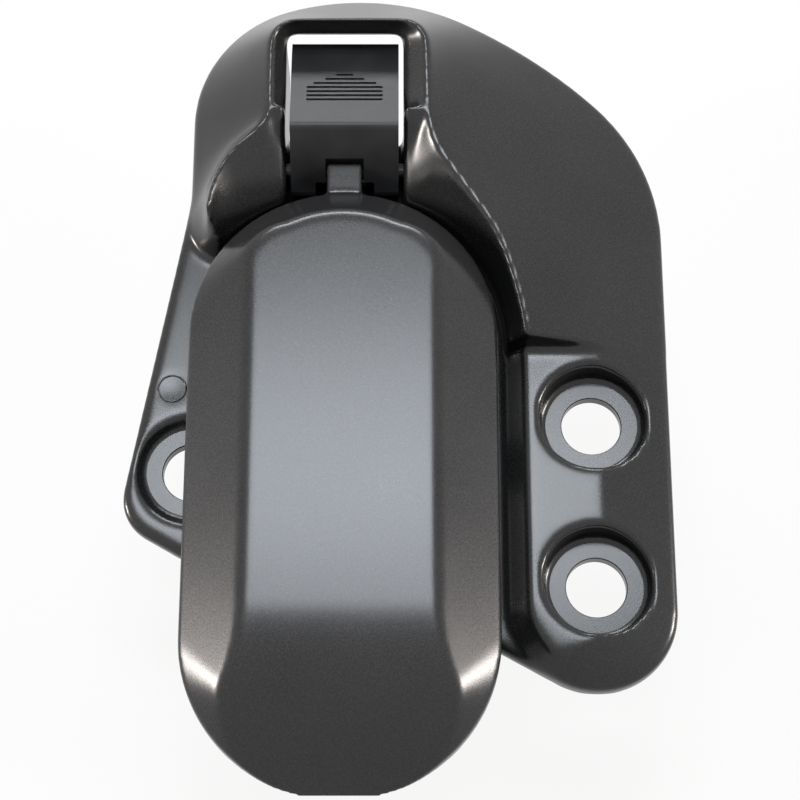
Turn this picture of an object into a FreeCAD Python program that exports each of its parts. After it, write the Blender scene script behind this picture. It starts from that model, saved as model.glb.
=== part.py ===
import FreeCAD, Part
import math
import os

# Convertible top latch, lying on its back: the mounting face is z = 0 and the visible side looks along +Z.
# The origin is on the mounting face, under the centre of the handle's round inner end. The handle's centre
# line is x = 0, its pivot lies towards -Y and the release button towards +Y. Lengths are in millimetres.

SIZES = {
    # Handle
    "handle_half_width": 21.85,
    "handle_straight": 44.4,
    "handle_underside": 7.5,
    "rim_height": 2.6,
    "bevel_height": 5.6,
    "panel_half_width": 13.2,
    "panel_corner": 8.0,
    "panel_end_gap": 5.4,
    "panel_arch": 1.7,
    "roll_radius": 40.6,
    "roll_start": 41.2,
    "handle_wall": 2.2,
    "edge_softness": 3.0,
    "tooth_width": 5.1,
    "tooth_reach": 4.9,
    "tooth_height": 2.2,
    "lug_inside": 5.0,
    "lug_thickness": 2.6,
    "lug_radius": 3.8,
    # Plate of the base
    "plate_thickness": 3.0,
    "wall_height": 3.5,
    "right_edge": 46.65,
    "well_gap": 1.5,
    "seat_floor": 1.75,
    "seat_radius": 7.6,
    "screw_hole_radius": 4.25,
    "right_screw_x": 35.5,
    "upper_screw_y": -11.25,
    "lower_screw_y": -35.25,
    "left_screw_x": -21.35,
    "left_screw_y": -18.3,
    "pad_height": 6.5,
    "pad_inner_slope": 2.55,
    "pad_end_slope": 1.55,
    "pad_left_end": -45.3,
    "pad_right_end": -58.34,
    "pad_crease_x": 36.6,
    "casting_wall": 2.6,
    "step_y": -0.8,
    # Shroud round the button
    "crest_height": 15.5,
    "crest_slope": 8.7,
    "lip_height": 7.0,
    "shroud_left_overlap": 0.45,
    "left_lip": 2.15,
    "right_lip": 3.5,
    "corner_radius": 20.0,
    "crown_radius": 36.0,
    "shoulder_radius": 75.0,
    "side_radius": 32.0,
    # Release button and its pin
    "button_half_width": 7.9,
    "button_gap": 0.7,
    "button_front_gap": 8.45,
    "button_front_z": 15.0,
    "button_rear_gap": 24.35,
    "button_rear_z": 10.9,
    "button_wall": 2.4,
    "button_pin_gap": 5.65,
    "button_pin_z": 5.6,
    "button_pin_radius": 1.2,
    "rib_pitch": 0.77,
    "rib_depth": 0.3,
    "rib_first_gap": 17.8,
    "notch_gap": 0.25,
    "spring_radius": 1.75,
    "spring_wire_radius": 0.2,
    "spring_half_width": 3.4,
    "spring_turns": 3,
    "spring_floor_leg": 5.5,
    "spring_lift_leg": 7.2,
    # Pivot, hook and trunnion
    "pivot_y": -52.5,
    "pivot_z": 6.0,
    "pivot_radius": 2.0,
    "pivot_head_radius": 3.0,
    "pivot_head": 1.0,
    "ear_thickness": 3.4,
    "ear_radius": 3.7,
    "washer_thickness": 0.8,
    "side_play": 0.05,
    "running_clearance": 0.05,
    "trunnion_y": -45.0,
    "trunnion_z": 5.0,
    "trunnion_radius": 3.4,
    "shank_radius": 2.0,
    "hook_half_width": 3.8,
    "hook_tip_y": -60.5,
    "nut_across_flats": 7.0,
    "nut_thickness": 2.2,
    # Rubber buffer under the handle
    "stop_radius": 4.0,
    "stop_y": -10.0,
}

doc = FreeCAD.newDocument("top_latch")
sheet = doc.addObject("Spreadsheet::Sheet", "Sizes")
for row, (alias, number) in enumerate(SIZES.items(), start=1):
    sheet.set(f"A{row}", alias.replace("_", " "))
    sheet.set(f"B{row}", str(number))
    sheet.setAlias(f"B{row}", alias)
doc.recompute()


def size(alias):
    return float(sheet.get(alias))


def vec(x, y, z=0.0):
    return FreeCAD.Vector(x, y, z)


# Sketch and feature helpers

def origin_plane(body, role):
    return next(item for item in body.Origin.OriginFeatures if item.Role == role)


def sketch_on(body, name, geometry, role="XY_Plane", offset=0.0, tilt=0.0):
    """A sketch on one of the body's own planes, moved along its normal or tilted about its x axis."""
    sketch = body.newObject("Sketcher::SketchObject", name)
    sketch.AttachmentSupport = [(origin_plane(body, role), "")]
    sketch.MapMode = "FlatFace"
    sketch.AttachmentOffset = FreeCAD.Placement(vec(0, 0, offset), FreeCAD.Rotation(vec(1, 0, 0), tilt))
    sketch.addGeometry(geometry, False)
    return sketch


def pad(body, name, sketch, length, both_ways=False):
    feature = body.newObject("PartDesign::Pad", name)
    feature.Profile = sketch
    feature.Midplane = both_ways
    bind(feature, "Length", length)
    doc.recompute()
    return feature


def pocket(body, name, sketch, length=None, reverse=False, both_ways=False):
    """Cuts against the sketch's normal, or along it when reversed. It must take something away."""
    before = body.Shape.Volume
    feature = body.newObject("PartDesign::Pocket", name)
    feature.Profile = sketch
    feature.Midplane = both_ways
    feature.Reversed = reverse
    if length is None:
        feature.Type = "ThroughAll"
    else:
        bind(feature, "Length", length)
    doc.recompute()
    if body.Shape.Volume > before - 0.01:
        raise RuntimeError(name + " cuts nothing")
    return feature


def loft(body, kind, name, first, last):
    feature = body.newObject("PartDesign::" + kind, name)
    feature.Profile = first
    feature.Sections = [last]
    feature.Ruled = True
    doc.recompute()
    return feature


def fillet(body, name, base, edges, radius):
    feature = body.newObject("PartDesign::Fillet", name)
    feature.Base = (base, edges)
    bind(feature, "Radius", radius)
    doc.recompute()
    return feature


def bind(item, prop, value):
    """Binds a property to an expression of the sheet, or sets a plain number."""
    if isinstance(value, str):
        item.setExpression(prop, value)
    else:
        setattr(item, prop, value)


def edges_where(body, test):
    """Names of the body's edges that pass a test."""
    return [f"Edge{number}" for number, edge in enumerate(body.Shape.Edges, start=1) if test(edge)]


# Plane geometry

def line(a, b):
    return Part.LineSegment(vec(*a), vec(*b))


def arc(a, b, c):
    """The arc from a to c through b."""
    return Part.Arc(vec(*a), vec(*b), vec(*c))


def circle(x, y, radius):
    return Part.Circle(vec(x, y), vec(0, 0, 1), radius)


def polar(centre, radius, degrees):
    angle = math.radians(degrees)
    return centre[0] + radius * math.cos(angle), centre[1] + radius * math.sin(angle)


def arc_about(centre, radius, start, end):
    """An arc about a centre between two angles in degrees."""
    middle = polar(centre, radius, (start + end) / 2)
    return arc(polar(centre, radius, start), middle, polar(centre, radius, end))


def rounded(corners):
    """A closed outline of straight lines, each corner given as x, y and the radius that rounds it."""
    ends = []
    for index, (x, y, radius) in enumerate(corners):
        before = vec(*corners[index - 1][:2])
        here = vec(x, y)
        after = vec(*corners[(index + 1) % len(corners)][:2])
        if radius == 0:
            ends.append((here, None, here))
            continue
        back = (before - here).normalize()
        ahead = (after - here).normalize()
        half = back.getAngle(ahead) / 2
        reach = radius / math.tan(half)
        bisector = (back + ahead).normalize()
        middle = here + bisector * (radius / math.sin(half) - radius)
        ends.append((here + back * reach, middle, here + ahead * reach))
    outline = []
    for index, (start, middle, end) in enumerate(ends):
        if middle is not None:
            outline.append(Part.Arc(start, middle, end))
        following = ends[(index + 1) % len(ends)][0]
        if (following - end).Length > 1e-6:
            outline.append(Part.LineSegment(end, following))
    return outline


def rectangle(x_low, y_low, x_high, y_high):
    return rounded([(x_low, y_low, 0), (x_high, y_low, 0), (x_high, y_high, 0), (x_low, y_high, 0)])


def stadium(half_width, straight, parts=3):
    """The handle's outline: two straight sides and round ends, the first about the origin."""
    outline = [line((half_width, -straight), (half_width, 0))]
    for number in range(parts):
        outline.append(arc_about((0, 0), half_width, 180 / parts * number, 180 / parts * (number + 1)))
    outline.append(line((-half_width, 0), (-half_width, -straight)))
    for number in range(parts):
        start = 180 + 180 / parts * number
        outline.append(arc_about((0, -straight), half_width, start, start + 180 / parts))
    return outline


# Base casting

WELL_RADIUS = size("handle_half_width") + size("well_gap")
CREST_TILT = size("crest_slope")
HANDLE_END = size("handle_half_width")
SHROUD_LEFT = size("shroud_left_overlap") - WELL_RADIUS
LIP_LEFT = -size("button_half_width") - size("button_gap") - size("left_lip")
LIP_RIGHT = size("button_half_width") + size("button_gap") + size("right_lip")


def beyond_end(gap):
    """The y of something that stands a named distance beyond the handle's round end."""
    return HANDLE_END + size(gap)


def round_well(gap, angle):
    """A point in plan outside the well's round wall, by a gap and an angle about its centre."""
    return polar((0, 0), WELL_RADIUS + gap, angle)


def tilted_sketch(body, name, outline, drop=0.0):
    """A sketch on the crest's sloping plane, or below it, from an outline in plan that is stretched to match."""
    slope = math.radians(CREST_TILT)
    level = size("crest_height") - beyond_end("button_front_gap") * math.tan(slope) - drop
    stretched = []
    for piece in outline:
        if isinstance(piece, Part.LineSegment):
            ends = [vec(end.x, end.y / math.cos(slope)) for end in (piece.StartPoint, piece.EndPoint)]
            stretched.append(Part.LineSegment(*ends))
            continue
        curve = piece.toBSpline()
        for number, pole in enumerate(curve.getPoles(), start=1):
            curve.setPole(number, vec(pole.x, pole.y / math.cos(slope)))
        stretched.append(curve)
    return sketch_on(body, name, stretched, offset=level, tilt=CREST_TILT)


def shroud_outline(inset=0.0):
    """The shroud's outline in plan, from its left foot over the top to its right end, as tangent arcs."""
    left = SHROUD_LEFT + inset
    end_y = size("step_y") + inset
    corner, crown = size("corner_radius"), size("crown_radius")
    shoulder, side = size("shoulder_radius"), size("side_radius")
    heading = [90, 17.9, -27, -45, -90]
    centre_corner = (SHROUD_LEFT + corner, HANDLE_END + 15.15)
    centre_crown = polar(centre_corner, corner - crown, heading[1] + 90)
    centre_shoulder = polar(centre_crown, crown - shoulder, heading[2] + 90)
    centre_side = polar(centre_shoulder, shoulder - side, heading[3] + 90)
    right = centre_side[0] + side - inset
    foot_x, foot_y = round_well(1.51, 143.18)
    foot = (foot_x + inset, foot_y + inset)
    outline = [
        arc(foot, (left + 0.9, HANDLE_END - 4.65 + inset), (left, HANDLE_END - 1.35 + inset)),
        line((left, HANDLE_END - 1.35 + inset), (left, HANDLE_END + 7.65)),
        line((left, HANDLE_END + 7.65), (left, HANDLE_END + 15.15)),
        arc_about(centre_corner, corner - inset, 180, 144),
        arc_about(centre_corner, corner - inset, 144, heading[1] + 90),
        arc_about(centre_crown, crown - inset, heading[1] + 90, 78),
        arc_about(centre_crown, crown - inset, 78, heading[2] + 90),
        arc_about(centre_shoulder, shoulder - inset, heading[2] + 90, 54),
        arc_about(centre_shoulder, shoulder - inset, 54, heading[3] + 90),
        arc_about(centre_side, side - inset, heading[3] + 90, 20),
        arc_about(centre_side, side - inset, 20, 0),
        line((right, centre_side[1]), (right, end_y)),
    ]
    inner = (10.0, end_y)
    return outline + [line((right, end_y), inner), line(inner, foot)]


def crest_outline(inset=0.0):
    """The crest in plan, point for point with the outline: round the handle's end and the button."""
    end_y = size("step_y") + inset
    inner = (10.0, end_y)
    end_x = WELL_RADIUS + 2.85 - 0.15 * inset
    left_bend, right_bend = HANDLE_END + 11.65, HANDLE_END + 11.35
    rear = beyond_end("button_rear_gap")
    foot = round_well(3.48, 137.87)
    shoulder = round_well(7.49, 123.9)
    right_shoulder = round_well(6.4, 62.14)
    return [
        arc(foot, round_well(5.58, 130.8), shoulder),
        arc(shoulder, round_well(8.49, 117.29), (LIP_LEFT - 1.15, HANDLE_END + 8.75)),
        arc((LIP_LEFT - 1.15, HANDLE_END + 8.75), (LIP_LEFT - 0.3, HANDLE_END + 10.05),
            (LIP_LEFT, left_bend)),
        line((LIP_LEFT, left_bend), (LIP_LEFT, rear - 3.6)),
        arc((LIP_LEFT, rear - 3.6), (LIP_LEFT + 1.05, rear - 1.05), (LIP_LEFT + 3.65, rear)),
        line((LIP_LEFT + 3.65, rear), (LIP_RIGHT - 3.7, rear)),
        arc((LIP_RIGHT - 3.7, rear), (LIP_RIGHT - 1.05, rear - 1.05), (LIP_RIGHT, rear - 3.6)),
        line((LIP_RIGHT, rear - 3.6), (LIP_RIGHT, right_bend)),
        arc((LIP_RIGHT, right_bend), (LIP_RIGHT + 0.5, HANDLE_END + 7.75), right_shoulder),
        arc(right_shoulder, round_well(3.98, 50.49), round_well(3.02, 37.22)),
        arc(round_well(3.02, 37.22), round_well(2.62, 30.02), round_well(2.24, 22.76)),
        arc(round_well(2.24, 22.76), round_well(2.13, 12.24), (end_x, end_y)),
        line((end_x, end_y), inner),
        line(inner, foot),
    ]


def core_outline():
    """Foot of the walls round the handle's end and the button, point for point with the crest."""
    around = WELL_RADIUS + size("casting_wall") - 0.2
    side_inner = size("button_half_width") + size("button_gap")
    side = side_inner + size("casting_wall")
    end_y = size("step_y")
    front, waist = HANDLE_END + 2.15, HANDLE_END + 6.15
    rear, tail = HANDLE_END + 18.15, HANDLE_END + 28.15
    points = [polar((0, 0), around, 140), polar((0, 0), around, 124), (-side, front), (-side, waist),
              (-side, rear), (1.0 - side_inner, tail), (side_inner - 1.0, tail), (side, rear), (side, waist),
              polar((0, 0), around, 61), polar((0, 0), around, 36), polar((0, 0), around, 20),
              (around, end_y), (10.0, end_y)]
    outline = [line(points[number - 1], points[number]) for number in range(1, len(points))]
    outline[0] = arc_about((0, 0), around, 140, 124)
    outline[9] = arc_about((0, 0), around, 61, 36)
    outline[10] = arc_about((0, 0), around, 36, 20)
    return outline + [line(points[-1], points[0])]


def funnel_rim():
    """The part of the crest that the handle's end dips under, closed across the button and the well."""
    whole = crest_outline()
    left, right = whole[:3], whole[8:]
    return left + [line((LIP_LEFT, HANDLE_END + 11.65), (LIP_RIGHT, HANDLE_END + 11.35))] + right


def funnel_lip():
    """Foot of the funnel on the well's round wall, point for point with its rim."""
    angles = [140, 124, 112, 108, 72, 66, 37, 22, -2]
    outline = [arc_about((0, 0), WELL_RADIUS, first, last) for first, last in zip(angles, angles[1:])]
    inner = (10.0, size("step_y"))
    start, end = polar((0, 0), WELL_RADIUS, 140), polar((0, 0), WELL_RADIUS, -2)
    return outline + [line(end, inner), line(inner, start)]


def base_casting():
    body = doc.addObject("PartDesign::Body", "base_casting")
    right = size("right_edge")
    well = WELL_RADIUS

    footprint = rounded([
        (right, size("pad_right_end"), 11.4), (right, 20, 0), (0, 40, 0), (SHROUD_LEFT, 30, 0),
        (SHROUD_LEFT, 24.5, 3), (-31.84, -25.63, 6.5), (-13.5, -36.2, 2), (-13.5, -44, 3), (21, -44, 3)])
    pad(body, "plate", sketch_on(body, "plate_outline", footprint), "Sizes.plate_thickness")
    foot = sketch_on(body, "shroud_foot_outline", shroud_outline())
    pad(body, "shroud_foot", foot, "Sizes.wall_height")
    low = sketch_on(body, "shroud_low", shroud_outline(), offset=size("wall_height"))
    high = tilted_sketch(body, "shroud_high", crest_outline())
    loft(body, "AdditiveLoft", "shroud", low, high)

    # Hollow back of the shroud, then the walls round the well and the button that stand in it
    wall = size("casting_wall")
    rebate = sketch_on(body, "hollow_foot_outline", shroud_outline(wall))
    pocket(body, "hollow_foot", rebate, "Sizes.wall_height - Sizes.casting_wall", reverse=True)
    low = sketch_on(body, "hollow_low", shroud_outline(wall), offset=size("wall_height") - wall)
    high = tilted_sketch(body, "hollow_high", crest_outline(wall), drop=wall + 0.2)
    loft(body, "SubtractiveLoft", "hollow", low, high)
    low = sketch_on(body, "core_low", core_outline())
    high = tilted_sketch(body, "core_high", crest_outline())
    loft(body, "AdditiveLoft", "core", low, high)

    # Screw pads
    slope = size("pad_inner_slope")
    crease = size("pad_crease_x")
    left_end, right_end = size("pad_left_end"), size("pad_right_end")
    lean = (right_end - left_end) / (right - well)
    top_left = left_end + size("pad_end_slope")
    top_right = top_left + lean * (crease - well - slope)
    pad_foot = rounded([(well, 3, 0), (well, left_end, 12), (right, right_end, 11.4), (right, 3, 0)])
    pad_top = rounded([(well + slope, 3, 0), (well + slope, top_left, 9.5), (crease, top_right, 6),
                       (crease, 3, 0)])
    pad(body, "pad_foot", sketch_on(body, "pad_foot_outline", pad_foot), "Sizes.wall_height")
    low = sketch_on(body, "pad_low", pad_foot, offset=size("wall_height"))
    high = sketch_on(body, "pad_high", pad_top, offset=size("pad_height"))
    loft(body, "AdditiveLoft", "screw_pads", low, high)

    # Well for the handle, the funnel down to it and the opening for the button
    reach = -70.0
    well_outline = [line((well, reach), (well, 0)), arc_about((0, 0), well, 0, 180),
                    line((-well, 0), (-well, reach)), line((-well, reach), (well, reach))]
    floor = size("plate_thickness")
    pocket(body, "well", sketch_on(body, "well_outline", well_outline, offset=floor), reverse=True)
    low = sketch_on(body, "funnel_low", funnel_lip(), offset=size("lip_height"))
    loft(body, "SubtractiveLoft", "funnel", low, tilted_sketch(body, "funnel_high", funnel_rim()))
    side = size("button_half_width") + size("button_gap")
    rear = beyond_end("button_rear_gap")
    mouth = HANDLE_END - 1.85
    opening = rounded([(-side, mouth, 0), (side, mouth, 0), (side, rear, 1.8), (-side, rear, 1.8)])
    pocket(body, "button_opening", sketch_on(body, "opening_outline", opening, offset=floor), reverse=True)
    left_bend, right_bend = HANDLE_END + 11.65, HANDLE_END + 11.35
    flare_low = [line((-side, left_bend), (-side, rear - 1.8)),
                 arc((-side, rear - 1.8), (-side + 0.53, rear - 0.53), (-side + 1.8, rear)),
                 line((-side + 1.8, rear), (side - 1.8, rear)),
                 arc((side - 1.8, rear), (side - 0.53, rear - 0.53), (side, rear - 1.8)),
                 line((side, rear - 1.8), (side, right_bend)), line((side, right_bend), (-side, left_bend))]
    flare_high = crest_outline()[3:8] + [line((LIP_RIGHT, right_bend), (LIP_LEFT, left_bend))]
    low = tilted_sketch(body, "flare_low", flare_low, drop=3.0)
    loft(body, "SubtractiveLoft", "flare", low, tilted_sketch(body, "flare_high", flare_high))
    under = [(left_bend, -1), (rear + 5.8, -1), (rear + 5.8, 3), (rear, 13.4), (left_bend, 13.4)]
    under = rounded([(y, z, 0) for y, z in under])
    section = sketch_on(body, "open_back_section", under, role="YZ_Plane")
    pocket(body, "open_back", section, 2 * side, both_ways=True)

    # Screw seats and holes
    screws = [(size("right_screw_x"), size("upper_screw_y")), (size("right_screw_x"), size("lower_screw_y")),
              (size("left_screw_x"), size("left_screw_y"))]
    seats = [circle(x, y, size("seat_radius")) for x, y in screws]
    pocket(body, "seats", sketch_on(body, "seat_circles", seats, offset=size("seat_floor")), reverse=True)
    holes = [circle(x, y, size("screw_hole_radius")) for x, y in screws]
    pocket(body, "screw_holes", sketch_on(body, "hole_circles", holes), reverse=True)

    # Pivot ears, the notch between them and the bores
    notch = size("lug_inside") + size("lug_thickness") + size("washer_thickness") + 2 * size("side_play")
    ear = size("ear_radius")
    front = size("pivot_y") - ear
    top = size("pivot_z") + ear
    foot = size("pivot_z") - ear
    profile = rounded([(-36, 0, 0), (-36, floor, 0), (-44, top, 8), (front, top, ear - 0.1),
                       (front, foot, ear - 0.1), (size("pivot_y") + 0.6, foot, 0.5),
                       (size("pivot_y") + 4, 0, 0)])
    for name, start in (("right_ear", notch), ("left_ear", -notch - size("ear_thickness"))):
        outline = sketch_on(body, name + "_profile", profile, role="YZ_Plane", offset=start)
        pad(body, name, outline, "Sizes.ear_thickness")
    gap = rectangle(-notch, -60, notch, -33)
    pocket(body, "hook_notch", sketch_on(body, "notch_outline", gap), reverse=True)
    pivot = [circle(size("pivot_y"), size("pivot_z"), size("pivot_radius") + size("running_clearance"))]
    pocket(body, "pivot_bores", sketch_on(body, "pivot_circle", pivot, role="YZ_Plane"), 60.0, both_ways=True)
    bore = size("button_pin_radius") + size("running_clearance")
    pin = [circle(beyond_end("button_pin_gap"), size("button_pin_z"), bore)]
    length = 2 * (side + wall + 0.3)
    pocket(body, "pin_bores", sketch_on(body, "pin_circle", pin, role="YZ_Plane"), length, both_ways=True)
    mark = sketch_on(body, "ejector_mark_outline", [circle(-24.65, -5.9, 2.0)], offset=floor - 0.12)
    pocket(body, "ejector_mark", mark, reverse=True)
    return body


# Handle shell

def panel_outline(inset=0.0, front=None):
    """The handle's flat panel, point for point with its stadium: straight sides and softly arched ends."""
    half = size("panel_half_width") - inset
    corner = size("panel_corner") - inset
    arch = size("panel_arch")
    top = size("handle_half_width") - size("panel_end_gap") - inset
    low = -size("handle_straight") - top if front is None else front
    shoulder = half - corner * 0.72
    rise = top - arch
    bend = corner * 0.72
    outline = [line((half, low + arch + bend), (half, rise - bend))]
    outline.append(arc((half, rise - bend), (half - 0.25 * bend, rise - 0.32 * bend), (shoulder, rise)))
    outline.append(arc((shoulder, rise), (0, top), (-shoulder, rise)))
    outline.append(arc((-shoulder, rise), (-half + 0.25 * bend, rise - 0.32 * bend), (-half, rise - bend)))
    outline.append(line((-half, rise - bend), (-half, low + arch + bend)))
    drop = low + arch
    outline.append(arc((-half, drop + bend), (-half + 0.25 * bend, drop + 0.32 * bend), (-shoulder, drop)))
    outline.append(arc((-shoulder, drop), (0, low), (shoulder, drop)))
    outline.append(arc((shoulder, drop), (half - 0.25 * bend, drop + 0.32 * bend), (half, drop + bend)))
    return outline


def panel_level():
    return size("handle_underside") + size("rim_height") + size("bevel_height")


def handle_shell():
    body = doc.addObject("PartDesign::Body", "handle_shell")
    half, straight = size("handle_half_width"), size("handle_straight")
    underside, rim, wall = size("handle_underside"), size("rim_height"), size("handle_wall")
    panel = panel_level()
    outline = stadium(half, straight)
    pad(body, "rim", sketch_on(body, "rim_outline", outline, offset=underside), "Sizes.rim_height")
    low = sketch_on(body, "bevel_low", outline, offset=underside + rim)
    loft(body, "AdditiveLoft", "bevel", low, sketch_on(body, "bevel_high", panel_outline(), offset=panel))

    # The top rolls down to the front edge, tangent to the panel
    radius, start = size("roll_radius"), -size("roll_start")
    centre = (start, panel - radius)
    turn = 70.0
    away = polar(centre, radius, 90 + turn)
    roll = [arc_about(centre, radius, 90, 90 + turn), line(away, (-90, away[1])),
            line((-90, away[1]), (-90, panel + 5)), line((-90, panel + 5), (start, panel + 5)),
            line((start, panel + 5), (start, panel))]
    section = sketch_on(body, "roll_section", roll, role="YZ_Plane")
    pocket(body, "front_roll", section, 4 * half, both_ways=True)
    soft = edges_where(body, lambda edge: is_panel_edge(edge, underside + rim))
    fillet(body, "soft_edges", body.Tip, soft, "Sizes.edge_softness")

    # Hollow underside
    inner = stadium(half - wall, straight)
    cavity = sketch_on(body, "cavity_outline", inner, offset=underside)
    pocket(body, "cavity_foot", cavity, 0.6, reverse=True)
    low = sketch_on(body, "cavity_low", inner, offset=underside + 0.6)
    ceiling = panel_outline(0.6, front=-46.0)
    loft(body, "SubtractiveLoft", "cavity", low, sketch_on(body, "cavity_high", ceiling, offset=panel - wall))

    # Lugs for the pivot and the trunnion, and the catch tooth
    lug = size("lug_radius")
    back, front = size("trunnion_y") + lug, size("pivot_y") - lug
    foot = size("trunnion_z") - lug + 0.4
    profile = rounded([(back, panel - 0.9, 0), (-47, panel - 0.9, 0), (front, 11.4, 0),
                       (front, foot + 1.2, 3.6), (back, foot, 3.6)])
    inside = size("lug_inside")
    for name, offset in (("right_lug", inside), ("left_lug", -inside - size("lug_thickness"))):
        outline = sketch_on(body, name + "_profile", profile, role="YZ_Plane", offset=offset)
        pad(body, name, outline, "Sizes.lug_thickness")
    clear = size("running_clearance")
    bores = [circle(size("pivot_y"), size("pivot_z"), size("pivot_radius") + clear),
             circle(size("trunnion_y"), size("trunnion_z"), size("pivot_radius") + clear)]
    reach = 2 * (inside + size("lug_thickness") + 1)
    pocket(body, "lug_bores", sketch_on(body, "lug_circles", bores, role="YZ_Plane"), reach, both_ways=True)
    tooth = size("tooth_width") / 2
    block = rectangle(-tooth, half - 1.5, tooth, half + size("tooth_reach"))
    outline = sketch_on(body, "tooth_outline", block, offset=underside + 0.4)
    pad(body, "catch_tooth", outline, "Sizes.tooth_height")
    return body


def is_panel_edge(edge, rim_top):
    """True for the edges round the panel and along the front roll, and not for those of the rim."""
    box = edge.BoundBox
    middle = edge.valueAt((edge.FirstParameter + edge.LastParameter) / 2)
    across = abs(middle.x) < 0.5 and box.XLength > 20 and box.YLength < 0.1
    return box.ZMin > rim_top + 0.3 and not across and box.ZLength < 0.01


# Release button, its pin and its spring

def release_button():
    body = doc.addObject("PartDesign::Body", "release_button")
    half, wall = size("button_half_width"), size("button_wall")
    front_y, front_z = beyond_end("button_front_gap"), size("button_front_z")
    rear_y, rear_z = beyond_end("button_rear_gap"), size("button_rear_z")
    pin_y, pin_z = beyond_end("button_pin_gap"), size("button_pin_z")
    chamfer_y = rear_y - 2.4
    chamfer_z = front_z + (rear_z + 0.6 - front_z) * (chamfer_y - front_y) / (rear_y - front_y)
    low = pin_z - 2.1
    section = rounded([(pin_y - 3.9, 6.8, 0), (pin_y - 3.1, low, 1.5), (pin_y + 2.4, low, 1.8),
                       (pin_y + 3.3, 5.6, 1.0), (pin_y + 3.4, front_z - 3.6, 1.2),
                       (rear_y - 0.8, rear_z - wall, 0.5), (rear_y, rear_z, 0.4),
                       (chamfer_y, chamfer_z, 1.0), (front_y, front_z, 1.2)])
    outline = sketch_on(body, "button_section", section, role="YZ_Plane")
    pad(body, "button", outline, 2 * half, both_ways=True)
    # Notch for the handle's catch tooth, hollow for the spring and the bore for the pin
    notch_half = size("tooth_width") / 2 + size("notch_gap")
    notch_back = size("handle_half_width") + size("tooth_reach") + size("notch_gap")
    floor = size("handle_underside") + 0.1
    outline = rectangle(-notch_half, HANDLE_END - 3.85, notch_half, notch_back)
    notch = sketch_on(body, "notch_outline", outline, offset=floor)
    pocket(body, "tooth_notch", notch, reverse=True)
    hollow = [(pin_y - 4.5, -1), (pin_y + 4, -1), (pin_y + 4, 11.4), (pin_y + 1.7, 11.4), (pin_y + 0.1, 8.0),
              (pin_y - 4.5, 8.0)]
    corners = [(y, z, 0) for y, z in hollow]
    outline = sketch_on(body, "spring_hollow_section", rounded(corners), role="YZ_Plane")
    pocket(body, "spring_hollow", outline, 2 * size("spring_half_width") + 1.8, both_ways=True)
    bore = [circle(pin_y, pin_z, size("button_pin_radius") + size("running_clearance"))]
    pocket(body, "pin_bore", sketch_on(body, "bore_circle", bore, role="YZ_Plane"), 3 * half, both_ways=True)

    # Grip grooves in the shape of an arrow that points to the rear
    fall = math.degrees(math.atan2(front_z - chamfer_z, chamfer_y - front_y))
    level = front_z + front_y * math.tan(math.radians(fall)) - size("rib_depth")
    widths = [2.5, 5.7, 9.2, 11.1, 11.1, 11.1, 11.1]
    grooves = []
    for number, width in enumerate(widths):
        y = (beyond_end("rib_first_gap") - number * size("rib_pitch")) / math.cos(math.radians(fall))
        grooves += rectangle(-width / 2, y - 0.2, width / 2, y + 0.2)
    outline = sketch_on(body, "groove_outlines", grooves, offset=level, tilt=-fall)
    pocket(body, "grip_grooves", outline, reverse=True)
    return body


def part_object(kind, name, **values):
    """A Part object whose lengths are given as numbers or as expressions of the sheet."""
    item = doc.addObject("Part::" + kind, name)
    for prop, value in values.items():
        bind(item, prop, value)
    return item


def along_x(x, y, z):
    """The placement that lays a cylinder along +X, with its first end at a point."""
    return FreeCAD.Placement(vec(x, y, z), FreeCAD.Rotation(vec(0, 1, 0), 90))


def along_y(x, y, z):
    """The placement that lays a cylinder along -Y, with its first end at a point."""
    return FreeCAD.Placement(vec(x, y, z), FreeCAD.Rotation(vec(1, 0, 0), 90))


def button_pin():
    pin = part_object("Cylinder", "button_pin", Radius="Sizes.button_pin_radius",
                      Height="2 * (Sizes.button_half_width + Sizes.button_gap + Sizes.casting_wall)")
    reach = size("button_half_width") + size("button_gap") + size("casting_wall")
    pin.Placement = along_x(-reach, beyond_end("button_pin_gap"), size("button_pin_z"))
    return pin


def button_spring():
    """A torsion spring on the button's pin: one leg on the plate's floor, one under the button."""
    radius, wire = size("spring_radius"), size("spring_wire_radius")
    half = size("spring_half_width")
    lift = 27.0
    sweep = 360 * size("spring_turns") + 180 - lift
    steps = int(sweep / 45)
    centre = (beyond_end("button_pin_gap"), size("button_pin_z"))
    # The coil runs clockwise seen along +X, from the floor leg round to the leg that lifts the button
    route = [vec(-half, centre[0] + size("spring_floor_leg"), centre[1] - radius)]
    for number in range(steps + 1):
        share = number / steps
        y, z = polar(centre, radius, -90 - sweep * share)
        route.append(vec(-half + 2 * half * share, y, z))
    rise = math.radians(lift)
    route.append(route[-1] + vec(0, math.cos(rise), math.sin(rise)) * size("spring_lift_leg"))
    # A six-sided wire keeps the swept coil light
    corners = [route[0] + vec(wire * math.cos(math.radians(60 * k)), 0, wire * math.sin(math.radians(60 * k)))
               for k in range(6)]
    section = Part.makePolygon(corners + [corners[0]])
    spring = doc.addObject("Part::Feature", "button_spring")
    spring.Shape = Part.makePolygon(route).makePipeShell([section], True, False, 1)
    return spring


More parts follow.
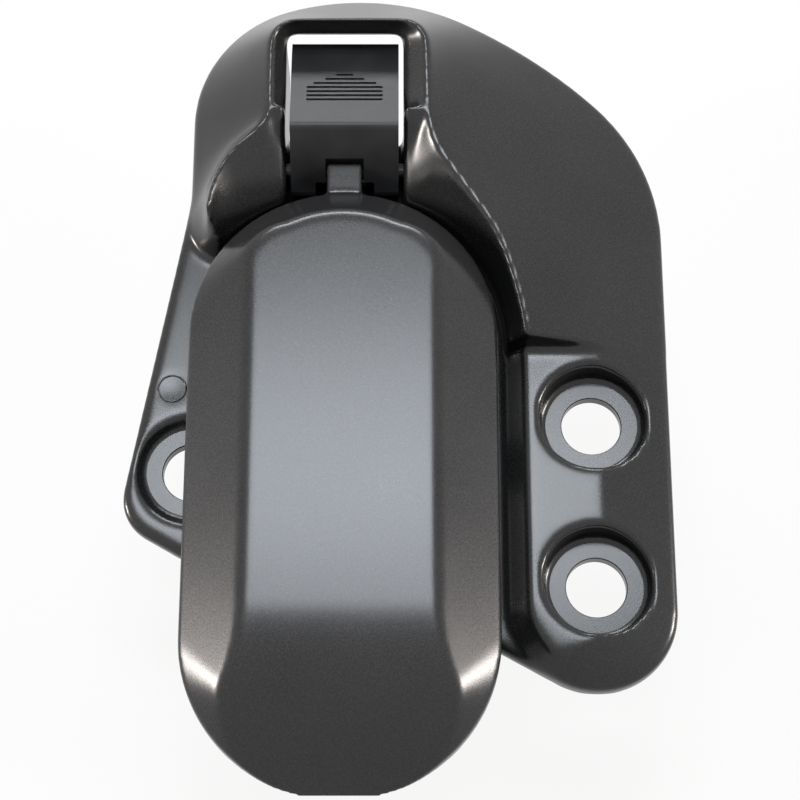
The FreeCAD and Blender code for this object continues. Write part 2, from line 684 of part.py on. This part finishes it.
def pivot_pin(side, name):
    """A headed pin from outside an ear into the handle's lug, on the side given as 1 or -1."""
    ear_face = (size("lug_inside") + size("lug_thickness") + size("washer_thickness")
                + 2 * size("side_play") + size("ear_thickness"))
    y, z = size("pivot_y"), size("pivot_z")
    shank = part_object("Cylinder", name + "_shank", Radius="Sizes.pivot_radius",
                        Height="Sizes.lug_thickness + Sizes.washer_thickness + "
                               "Sizes.ear_thickness + Sizes.pivot_head")
    head = part_object("Cylinder", name + "_head", Radius="Sizes.pivot_head_radius",
                       Height="Sizes.pivot_head")
    if side > 0:
        shank.Placement = along_x(size("lug_inside") + 2 * size("side_play"), y, z)
        head.Placement = along_x(ear_face, y, z)
    else:
        shank.Placement = along_x(-ear_face - size("pivot_head"), y, z)
        head.Placement = along_x(-ear_face - size("pivot_head"), y, z)
    return part_object("MultiFuse", name, Shapes=[shank, head])


def pivot_washer(side, name):
    inner = size("lug_inside") + size("lug_thickness") + size("side_play")
    start = inner if side > 0 else -inner - size("washer_thickness")
    disc = part_object("Cylinder", name + "_disc", Radius="Sizes.pivot_head_radius",
                       Height="Sizes.washer_thickness")
    disc.Placement = along_x(start, size("pivot_y"), size("pivot_z"))
    hole = part_object("Cylinder", name + "_hole", Radius="Sizes.pivot_radius + Sizes.running_clearance",
                       Height="Sizes.washer_thickness + 2")
    hole.Placement = along_x(start - 1, size("pivot_y"), size("pivot_z"))
    return part_object("Cut", name, Base=disc, Tool=hole)


def hook_trunnion():
    """The cross pin that the hook's shank goes through, carried in the handle's two lugs."""
    y, z = size("trunnion_y"), size("trunnion_z")
    reach = size("lug_inside") + size("lug_thickness")
    barrel = part_object("Cylinder", "trunnion_barrel", Radius="Sizes.trunnion_radius",
                         Height="2 * (Sizes.lug_inside - 0.3)")
    barrel.Placement = along_x(-size("lug_inside") + 0.3, y, z)
    journal = part_object("Cylinder", "trunnion_journal", Radius="Sizes.pivot_radius",
                          Height="2 * (Sizes.lug_inside + Sizes.lug_thickness)")
    journal.Placement = along_x(-reach, y, z)
    solid = part_object("MultiFuse", "trunnion_solid", Shapes=[barrel, journal])
    hole = part_object("Cylinder", "trunnion_hole", Radius="Sizes.shank_radius + Sizes.running_clearance",
                       Height="4 * Sizes.trunnion_radius")
    hole.Placement = along_y(0, y + 2 * size("trunnion_radius"), z)
    return part_object("Cut", "hook_trunnion", Base=solid, Tool=hole)


def hook_nut(name, face_y):
    """A hexagonal lock nut on the hook's shank, from a face towards -Y."""
    body = doc.addObject("PartDesign::Body", name)
    corner = size("nut_across_flats") / math.sqrt(3)
    z = size("trunnion_z")
    points = [polar((0, z), corner, 60 * number) for number in range(6)]
    outline = rounded([(x, height, 0) for x, height in points]) + [
        circle(0, z, size("shank_radius") + size("running_clearance") / 2)]
    pad(body, name + "_pad", sketch_on(body, name + "_outline", outline, role="XZ_Plane", offset=-face_y),
        "Sizes.nut_thickness")
    return body


def hook():
    """The claw and its shank in one piece. The claw's tip points to the mounting plane."""
    body = doc.addObject("PartDesign::Body", "hook")
    tip, z = size("hook_tip_y"), size("trunnion_z")
    root = size("trunnion_y") - size("trunnion_radius") - size("nut_thickness") - 0.5
    profile = rounded([(root, z + 2.1, 0), (tip, z + 2.1, 3), (tip, 0.5, 0.8), (tip + 3.0, 0.5, 0.8),
                       (tip + 3.2, z - 1.8, 1.2), (root, z - 1.8, 0)])
    pad(body, "claw", sketch_on(body, "claw_profile", profile, role="YZ_Plane"),
        "2 * Sizes.hook_half_width", both_ways=True)
    end = size("trunnion_y") + size("trunnion_radius") + size("nut_thickness") + 1.2
    outline = [circle(0, z, size("shank_radius"))]
    shank = sketch_on(body, "shank_circle", outline, role="XZ_Plane", offset=-end)
    pad(body, "shank", shank, end - root + 0.5)
    return body


def bump_stop():
    """A rubber buffer on the plate that steadies the closed handle."""
    stop = part_object("Cone", "bump_stop", Radius1="Sizes.stop_radius", Radius2="Sizes.stop_radius - 0.8",
                       Height=panel_level() - size("handle_wall") - size("plate_thickness") - 0.3)
    stop.Placement.Base = vec(0, size("stop_y"), size("plate_thickness"))
    return stop


NUT_REAR_FACE = size("trunnion_y") + size("trunnion_radius") + size("nut_thickness") + 0.05
NODES = [base_casting(), handle_shell(), release_button(), button_pin(), button_spring(),
         pivot_pin(-1, "pivot_pin_left"), pivot_pin(1, "pivot_pin_right"),
         pivot_washer(-1, "pivot_washer_left"), pivot_washer(1, "pivot_washer_right"),
         hook(), hook_trunnion(),
         hook_nut("hook_nut_front", size("trunnion_y") - size("trunnion_radius") - 0.05),
         hook_nut("hook_nut_rear", NUT_REAR_FACE),
         bump_stop()]
doc.recompute()

for item in doc.Objects:
    if "Invalid" in item.State or "Error" in item.State:
        raise RuntimeError(item.Name + " did not build")
os.makedirs("parts", exist_ok=True)
for node in NODES:
    if node.Shape.isNull() or not node.Shape.isValid() or not node.Shape.Solids:
        raise RuntimeError(node.Label + " has no sound solid")
    node.Shape.exportStep("parts/" + node.Label + ".step")
    print(node.Label, len(node.Shape.Solids), round(node.Shape.Volume, 2))
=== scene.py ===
# %% [markdown]
# # A convertible top latch
# The latch is cast metal under satin charcoal paint: a base with screw seats, a long pull handle and a
# ribbed release button. The packed CAD model gives every shape and place, so this script starts from it
# and adds what CAD leaves out: how paint, plastic, rubber and plated steel look under soft light.

# %% Load the frame
import math

import bpy
import numpy as np
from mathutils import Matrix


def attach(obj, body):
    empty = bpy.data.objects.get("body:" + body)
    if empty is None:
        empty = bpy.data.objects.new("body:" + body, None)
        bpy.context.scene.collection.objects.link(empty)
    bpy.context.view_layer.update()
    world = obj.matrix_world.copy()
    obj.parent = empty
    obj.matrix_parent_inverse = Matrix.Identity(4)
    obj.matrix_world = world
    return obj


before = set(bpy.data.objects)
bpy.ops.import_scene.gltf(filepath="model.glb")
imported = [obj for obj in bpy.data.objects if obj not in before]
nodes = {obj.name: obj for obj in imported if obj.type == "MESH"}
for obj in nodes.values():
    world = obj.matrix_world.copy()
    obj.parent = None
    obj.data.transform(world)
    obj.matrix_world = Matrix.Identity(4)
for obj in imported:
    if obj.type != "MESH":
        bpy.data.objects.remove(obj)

scene = bpy.context.scene


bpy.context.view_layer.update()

# %% [markdown]
# ## Camera
# The photograph looks down on the latch's face, leaning back 21 degrees. A long lens keeps the sides
# nearly parallel, as in a product picture. The camera is placed from measured points of the outline,
# rather than by eye, so the render and the photograph can be compared region by region.

# %% Camera
CAMERA_PLACE = (0.0081, -0.12118, 0.29875)
CAMERA_LEAN = math.radians(21)
CAMERA_AIM = (0.0081, -0.0065, 0)
LENS_MM = 99.36

camera_data = bpy.data.cameras.new("latch_camera")
camera_data.lens = LENS_MM
camera_data.sensor_width = 36.0
camera_data.clip_start = 0.01
camera = bpy.data.objects.new("latch_camera", camera_data)
camera.location = CAMERA_PLACE
camera.rotation_euler = (CAMERA_LEAN, 0, 0)
scene.collection.objects.link(camera)
scene.camera = camera
print("camera distance in metres:", round(math.dist(CAMERA_PLACE, CAMERA_AIM), 4))

# %% [markdown]
# ## Shader maths as Python
# A material is a graph of nodes, and graphs are hard to read. This small class wraps one output socket,
# so that sums and products of patterns are written as plain expressions, and each adds its Math node.

# %% Sockets with operators


class Value:
    """A number that a node gives at each point of the surface."""

    def __init__(self, graph, socket):
        self.graph = graph
        self.socket = socket

    def _math(self, operation, first, second):
        return self.graph.add("ShaderNodeMath", {"operation": operation}, {0: first, 1: second})

    def __add__(self, other):
        return self._math("ADD", self, other)

    def __radd__(self, other):
        return self._math("ADD", other, self)

    def __sub__(self, other):
        return self._math("SUBTRACT", self, other)

    def __rsub__(self, other):
        return self._math("SUBTRACT", other, self)

    def __mul__(self, other):
        return self._math("MULTIPLY", self, other)

    def __rmul__(self, other):
        return self._math("MULTIPLY", other, self)


print("operators:", [name for name in vars(Value) if name.strip("_") in "add radd sub rsub mul rmul".split()])

# %% [markdown]
# ## One way to make a node
# Every node in this file is made by one method. It sets the node's own settings first, because they decide
# which sockets the node has, and then fills its sockets with numbers or links. The world and the materials
# share it, so it belongs to a class that knows only a node tree.

# %% Node trees


class Graph:
    """A node tree under construction: add() makes any node and gives one of its outputs."""

    def __init__(self, tree):
        self.tree = tree
        self.tree.nodes.clear()

    def add(self, kind, settings=None, inputs=None, output=0):
        node = self.tree.nodes.new(kind)
        for name, setting in (settings or {}).items():
            if name == "ramp":
                for element, (position, level) in zip(node.color_ramp.elements, setting):
                    element.position = position
                    element.color = (level, level, level, 1)
            else:
                setattr(node, name, setting)
        for name, value in (inputs or {}).items():
            if isinstance(value, Value):
                self.tree.links.new(value.socket, node.inputs[name])
            else:
                node.inputs[name].default_value = value
        return Value(self, node.outputs[output]) if node.outputs else None


print("a node tree grows with:", Graph.add.__name__)

# %% [markdown]
# ## Patterns and a finish
# Every finish here is built from the same few parts: slow or fast noise in the object's own coordinates,
# a ramp that stretches it, a mix of two colours, and a bump. One class keeps them together.

# %% Finish


# Noise is worked out on a lattice, so it is turned until no flat face of the latch lies along that lattice
PATTERN_TURN = (0.61, 0.43, 0.97)


class Finish(Graph):
    """A material whose patterns lie in the object's own coordinates, in metres."""

    def __init__(self, name):
        self.material = bpy.data.materials.new(name)
        self.material.use_nodes = True
        super().__init__(self.material.node_tree)
        plain = self.add("ShaderNodeTexCoord", output="Object")
        self.place = self.add("ShaderNodeMapping", None, {"Vector": plain, "Rotation": PATTERN_TURN})

    def noise(self, scale, detail=2.0):
        """Soft random pattern from 0 to 1, with scale in waves per metre."""
        return self.add("ShaderNodeTexNoise", None,
                        {"Vector": self.place, "Scale": scale, "Detail": detail})

    def levels(self, pattern, low, high):
        """Stretch a pattern so that low becomes 0 and high becomes 1."""
        return self.add("ShaderNodeValToRGB", {"ramp": [(low, 0.0), (high, 1.0)]}, {"Fac": pattern})

    def blend(self, share, first, second):
        """Colour that goes from first to second as share goes from 0 to 1."""
        return self.add("ShaderNodeMix", {"data_type": "RGBA"},
                        {0: share, 6: (*first, 1), 7: (*second, 1)}, output=2)

    def bump(self, height, distance, strength):
        """Normal that follows a height, whose full swing is distance in metres."""
        return self.add("ShaderNodeBump", None,
                        {"Height": height, "Distance": distance, "Strength": strength})

    def surface(self, colour, roughness, metallic=0.0, normal=None, **fixed):
        """Principled shader; fixed holds numbers set on the shader's own sockets."""
        inputs = {"Base Color": colour, "Roughness": roughness, "Metallic": metallic}
        if normal is not None:
            inputs["Normal"] = normal
        inputs.update({name.replace("_", " "): value for name, value in fixed.items()})
        shader = self.add("ShaderNodeBsdfPrincipled", None, inputs, output="BSDF")
        self.add("ShaderNodeOutputMaterial", None, {"Surface": shader})
        return self.material


print("steps of a finish:", [name for name in vars(Finish) if not name.startswith("_")])

# %% [markdown]
# ## Satin paint
# The casting and the handle are sprayed with a charcoal paint that has a fine metal flake. Close up it is
# not one colour: the film is a little thicker in places, so it drifts slowly in tone, and each flake
# glints. Slow noise drives tone and gloss, and a fast noise gives the orange-peel skin as a bump. An image
# of real paint would need unwrapped surfaces, and noise in the object's own metres does not.

# %% Paint
# How far the coat acts as bare metal flake, and how strongly its clear top mirrors
METAL_SHARE = 0.30
GLOSS_LEVEL = 0.50


def satin_paint(name, dark, light, gloss):
    """Painted metal: tone drifts between dark and light, and roughness drifts about gloss."""
    paint = Finish(name)
    drift = paint.levels(paint.noise(60.0, 2.0), 0.25, 0.75)
    flake = paint.levels(paint.noise(5200.0, 1.0), 0.40, 0.75)
    tone = drift * 0.25 + flake * 0.75
    skin = paint.noise(3400.0, 2.0)
    roughness = gloss + drift * 0.02 + flake * 0.03
    normal = paint.bump(skin, 0.000012, 0.30)
    return paint.surface(paint.blend(tone, dark, light), roughness, METAL_SHARE, normal,
                         Specular_IOR_Level=GLOSS_LEVEL)


casting_paint = satin_paint("casting_paint", (0.014, 0.014, 0.014), (0.04, 0.04, 0.0408), 0.22)
handle_paint = satin_paint("handle_paint", (0.014, 0.014, 0.0147), (0.04, 0.04, 0.0424), 0.22)
print("paints:", casting_paint.name, handle_paint.name)

# %% [markdown]
# ## Plastic, steel, nylon and rubber
# The button is moulded plastic with a fine spark-eroded grain, duller than paint. The pins, the hook and
# the nuts are zinc plated, so they are metallic with cloudy patches, and the button's own pin is blackened
# so that it hides in its gap. The washers are milky nylon, and the stop is matt rubber.

# %% Other finishes


def moulded_plastic(name, dark, light, dullness, grain):
    """Moulded plastic: a fine pebbled grain, with scale in waves per metre."""
    plastic = Finish(name)
    tone = plastic.levels(plastic.noise(160.0, 3.0), 0.3, 0.7)
    pebble = plastic.noise(grain, 3.0)
    roughness = dullness + tone * 0.06
    return plastic.surface(plastic.blend(tone, dark, light), roughness, 0.0,
                           plastic.bump(pebble, 0.00003, 0.5), Specular_IOR_Level=0.3)


def plated_steel(name, dark, light, gloss):
    """Zinc plate: cloudy patches of tone, with fine drawn scratches as a bump."""
    steel = Finish(name)
    cloud = steel.levels(steel.noise(300.0, 5.0), 0.3, 0.7)
    scratch = steel.noise(3800.0, 2.0)
    return steel.surface(steel.blend(cloud, dark, light), gloss + cloud * 0.12, 1.0,
                         steel.bump(scratch, 0.00001, 0.4))


button_plastic = moulded_plastic("button_plastic", (0.014, 0.014, 0.0147), (0.028, 0.028, 0.0294),
                                 0.36, 4200.0)
washer_nylon = moulded_plastic("washer_nylon", (0.62, 0.60, 0.54), (0.74, 0.72, 0.66), 0.50, 2500.0)
stop_rubber = moulded_plastic("stop_rubber", (0.012, 0.012, 0.012), (0.022, 0.022, 0.022), 0.75, 1800.0)
zinc_plate = plated_steel("zinc_plate", (0.42, 0.42, 0.43), (0.62, 0.62, 0.62), 0.28)
black_oxide = plated_steel("black_oxide", (0.030, 0.030, 0.032), (0.060, 0.060, 0.062), 0.38)
spring_wire = plated_steel("spring_wire", (0.30, 0.30, 0.31), (0.44, 0.44, 0.45), 0.24)
print("finishes:", [material.name for material in bpy.data.materials if material.node_tree])

# %% [markdown]
# ## Finishes on the CAD nodes
# Small turned parts only need their corners joined to look right. The casting and the handle are cast and
# then painted, and both round every edge. A voxel Remesh gives those two an even skin, Smooth passes round
# its edges, and a Decimate keeps the count of triangles down on the large casting. A Bevel would be lighter,
# but it needs clean edges, and a CAD mesh is loose triangles. All of these are modifiers, so the CAD mesh
# itself stays as it was packed.

# %% Dress the nodes
FINISH_OF = {
    "base_casting": casting_paint,
    "handle_shell": handle_paint,
    "release_button": button_plastic,
    "button_pin": black_oxide,
    "button_spring": spring_wire,
    "pivot_pin_left": zinc_plate,
    "pivot_pin_right": zinc_plate,
    "pivot_washer_left": washer_nylon,
    "pivot_washer_right": washer_nylon,
    "hook": zinc_plate,
    "hook_trunnion": zinc_plate,
    "hook_nut_front": zinc_plate,
    "hook_nut_rear": zinc_plate,
    "bump_stop": stop_rubber,
}
WELD_DISTANCE = 0.000002
# Voxel size in metres, the number of smoothing passes, and the share of triangles kept
PAINT_SKIN = {"base_casting": (0.00034, 42, 0.50), "handle_shell": (0.00036, 10, 1.0)}


def dress(node, finish):
    """Put a finish on a CAD node and join the corners of its triangles."""
    if not node.material_slots:
        node.data.materials.append(finish)
    for slot in node.material_slots:
        slot.link = "OBJECT"
        slot.material = finish
    weld = node.modifiers.new("join_corners", "WELD")
    weld.merge_threshold = WELD_DISTANCE


def paint_skin(node, voxel, passes, kept):
    """An even skin of squares of one voxel, rounded by moving each corner towards its neighbours' mean.

    Flat parts need few triangles, so a Decimate then merges them until only the kept share is left.
    """
    skin = node.modifiers.new("even_skin", "REMESH")
    skin.mode = "VOXEL"
    skin.voxel_size = voxel
    skin.use_smooth_shade = True
    smooth = node.modifiers.new("round_edges", "SMOOTH")
    smooth.factor = 0.5
    smooth.iterations = passes
    if kept < 1:
        thin = node.modifiers.new("merge_flats", "DECIMATE")
        thin.decimate_type = "COLLAPSE"
        thin.ratio = kept


def shade_crisp(node):
    """Normals that follow the large faces, so that turned and flat surfaces meet in a clean edge."""
    shade = node.modifiers.new("crisp_shading", "WEIGHTED_NORMAL")
    shade.keep_sharp = True


for name, finish in FINISH_OF.items():
    dress(nodes[name], finish)
    if name in PAINT_SKIN:
        paint_skin(nodes[name], *PAINT_SKIN[name])
    else:
        shade_crisp(nodes[name])

depsgraph = bpy.context.evaluated_depsgraph_get()
for name in PAINT_SKIN:
    skin_mesh = nodes[name].evaluated_get(depsgraph).data
    skin_mesh.calc_loop_triangles()
    print(name, "triangles under paint:", len(skin_mesh.loop_triangles))

# %% [markdown]
# ## Turned details
# The screw seats are cut by a milling tool after casting, so they stay flat and sharp while the cast edges
# round them off. The paint skin above softens them too, so each gets a crisp ring of its own. A die-cast
# part is also pushed out of its mould by pins, and one pin left a thin ring on the plate, left of the
# handle. All of these are round, so one profile of radius and height, turned about an upright line, makes
# them: a Torus primitive could make only the last.

# %% Turned surfaces


def turned_surface(centre, profile, around=96):
    """Turn a closed profile of (radius, height) about the upright line through centre.

    A point is (cx + r cos a, cy + r sin a, h) for the profile's r and h and an angle a that goes once round.
    """
    profile = np.array(profile)
    across = len(profile)
    turn = np.repeat(np.arange(around) * math.tau / around, across)
    radius, height = np.tile(profile, (around, 1)).T
    points = np.stack([centre[0] + radius * np.cos(turn), centre[1] + radius * np.sin(turn), height], axis=1)
    row, column = np.indices((around, across))
    after, beside = (row + 1) % around, (column + 1) % across
    faces = np.stack([row * across + column, after * across + column, after * across + beside,
                      row * across + beside], axis=-1)
    return points, faces.reshape(-1, 4)


def painted_piece(name, surface, finish):
    """Put a worked-out surface into the scene, riding on the base."""
    points, faces = surface
    mesh = bpy.data.meshes.new(name)
    mesh.from_pydata(points.tolist(), [], faces.tolist())
    mesh.shade_smooth()
    mesh.set_sharp_from_angle(angle=math.radians(40))
    mesh.materials.append(finish)
    piece = bpy.data.objects.new(name, mesh)
    scene.collection.objects.link(piece)
    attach(piece, "base")
    return piece


print("a square ring has", len(turned_surface((0, 0), [(1, 0), (2, 0), (2, 1), (1, 1)])[0]), "corners")

# %% Screw seats
SCREW_CENTRES = {"upper": (0.0355, -0.01125), "lower": (0.0355, -0.03525), "left": (-0.02135, -0.0183)}
BORE_RADIUS = 0.00425
SEAT_REACH = 0.00748
SEAT_LEVEL = 0.00184
BROKEN_EDGE = 0.00012
SEAT_PROFILE = [(BORE_RADIUS, 0.0001), (SEAT_REACH, 0.0001), (SEAT_REACH, SEAT_LEVEL - BROKEN_EDGE),
                (SEAT_REACH - BROKEN_EDGE, SEAT_LEVEL), (BORE_RADIUS + BROKEN_EDGE, SEAT_LEVEL),
                (BORE_RADIUS, SEAT_LEVEL - BROKEN_EDGE)]

for side, centre in SCREW_CENTRES.items():
    seat = painted_piece("seat_ring_" + side, turned_surface(centre, SEAT_PROFILE), casting_paint)
    print(seat.name, "across in metres:", round(seat.dimensions.x, 5))

# %% Ejector mark
PLATE_TOP = 0.003
MARK_CENTRE = (-0.02465, -0.0059)
MARK_RADIUS = 0.002
BEAD_RADIUS = 0.00013

roll = np.arange(12) * math.tau / 12
bead = np.stack([MARK_RADIUS + BEAD_RADIUS * np.cos(roll), PLATE_TOP + BEAD_RADIUS * np.sin(roll)], axis=1)
mark = painted_piece("ejector_ring", turned_surface(MARK_CENTRE, bead), casting_paint)
print("ejector ring:", len(mark.data.vertices), "corners, across in metres:", round(mark.dimensions.x, 5))

# %% [markdown]
# ## Seen and unseen white
# The picture has a clean white ground. Painting everything white with lamps would wash the latch out, so
# the floor and the world glow only for rays that look at them: from the camera, or mirrored in paint and
# steel. Light that falls on the latch sees a plain dim room.

# %% Rays that look


def looked_at(graph):
    """One for rays from the camera or from a glossy or clear surface, and nought for light on the object."""
    ray = {kind: graph.add("ShaderNodeLightPath", output="Is %s Ray" % kind)
           for kind in ("Camera", "Glossy", "Transmission")}
    mirrored = graph.add("ShaderNodeMath", {"operation": "MAXIMUM"},
                         {0: ray["Glossy"], 1: ray["Transmission"]})
    return graph.add("ShaderNodeMath", {"operation": "MAXIMUM"}, {0: ray["Camera"], 1: mirrored})


print("rays that see white: camera, glossy and transmission")

# %% [markdown]
# ## Floor
# The floor lies a little below the latch, because the open handle dips under the mounting face. Its glow
# is mixed with a plain diffuse part, which keeps the latch's shadow.

# %% Floor
FLOOR_LEVEL = -0.030
FLOOR_HALF_WIDTH = 1.5
GROUND_GLOW = 0.86


def floor_grid(half_width, level):
    """Corners of a flat square: x and y run from -half_width to half_width, and z is the level."""
    x, y = np.meshgrid([-half_width, half_width], [-half_width, half_width])
    return np.stack([x.ravel(), y.ravel(), np.full(4, level)], axis=1)


floor_mesh = bpy.data.meshes.new("floor")
floor_mesh.from_pydata(floor_grid(FLOOR_HALF_WIDTH, FLOOR_LEVEL).tolist(), [], [(0, 1, 3, 2)])
floor = bpy.data.objects.new("floor", floor_mesh)
scene.collection.objects.link(floor)

ground = Finish("white_ground")
seen = looked_at(ground)
bright = ground.add("ShaderNodeEmission", None, {"Color": (1, 1, 1, 1), "Strength": 1.0})
paper = ground.add("ShaderNodeBsdfDiffuse", None, {"Color": (0.8, 0.8, 0.8, 1)})
mixed = ground.add("ShaderNodeMixShader", None, {0: seen * GROUND_GLOW, 1: paper, 2: bright})
ground.add("ShaderNodeOutputMaterial", None, {"Surface": mixed})
floor.data.materials.append(ground.material)
print("floor across in metres:", round(floor.dimensions.x, 3), "at level", FLOOR_LEVEL)

# %% [markdown]
# ## Light
# A large box overhead is mirrored by the flat face of the handle as a cool sheen. Two warm boxes at the
# sides draw bright corners on the handle's near end, and a box behind picks out the rims. Area lamps are
# used because a point lamp would leave a small hard glint on this satin paint. Together they light a grey
# card to about the grey that is written.

# %% Lamps


def soft_box(name, place, aim, width, height, power, colour):
    """A rectangular lamp at place, turned so that it faces the point aim."""
    lamp_data = bpy.data.lights.new(name, "AREA")
    lamp_data.shape = "RECTANGLE"
    lamp_data.size = width
    lamp_data.size_y = height
    lamp_data.energy = power
    lamp_data.color = colour
    lamp = bpy.data.objects.new(name, lamp_data)
    lamp.location = place
    heading = np.subtract(aim, place)
    flat = math.hypot(heading[0], heading[1])
    lamp.rotation_euler = (math.atan2(flat, -heading[2]), 0, math.atan2(-heading[0], heading[1]))
    scene.collection.objects.link(lamp)
    return lamp


COOL = (0.88, 0.94, 1.0)
WARM = (1.0, 0.93, 0.87)
lamps = [
    soft_box("overhead_box", (0.0, 0.162, 0.55), (0, -0.02, 0), 0.26, 0.11, 1.52, COOL),
    soft_box("left_box", (-0.50, 0.0, 0.17), (0, -0.03, 0), 0.09, 0.12, 2.3, WARM),
    soft_box("right_box", (0.50, 0.0, 0.17), (0, -0.03, 0), 0.09, 0.12, 1.9, WARM),
    soft_box("rear_box", (0.0, 0.42, 0.26), (0, 0.03, 0), 0.30, 0.08, 1.36, (0.94, 0.97, 1.0)),
]
print("lamps in watts:", {lamp.name: round(lamp.data.energy, 2) for lamp in lamps})

# %% [markdown]
# ## World
# The room round the lamps is dim, and white only to rays that look at it, as the floor is.

# %% World
ROOM_LEVEL = 0.04

world = bpy.data.worlds.new("studio")
scene.world = world
world.use_nodes = True
sky = Graph(world.node_tree)
glow = ROOM_LEVEL + looked_at(sky) * (1 - ROOM_LEVEL)
studio = sky.add("ShaderNodeBackground", None, {"Color": (1, 1, 1, 1), "Strength": glow})
sky.add("ShaderNodeOutputWorld", None, {"Surface": studio})
scene.view_settings.view_transform = "Standard"
print("room level:", ROOM_LEVEL)

# %% [markdown]
# The dressed latch has to stay inside the CAD model's box.
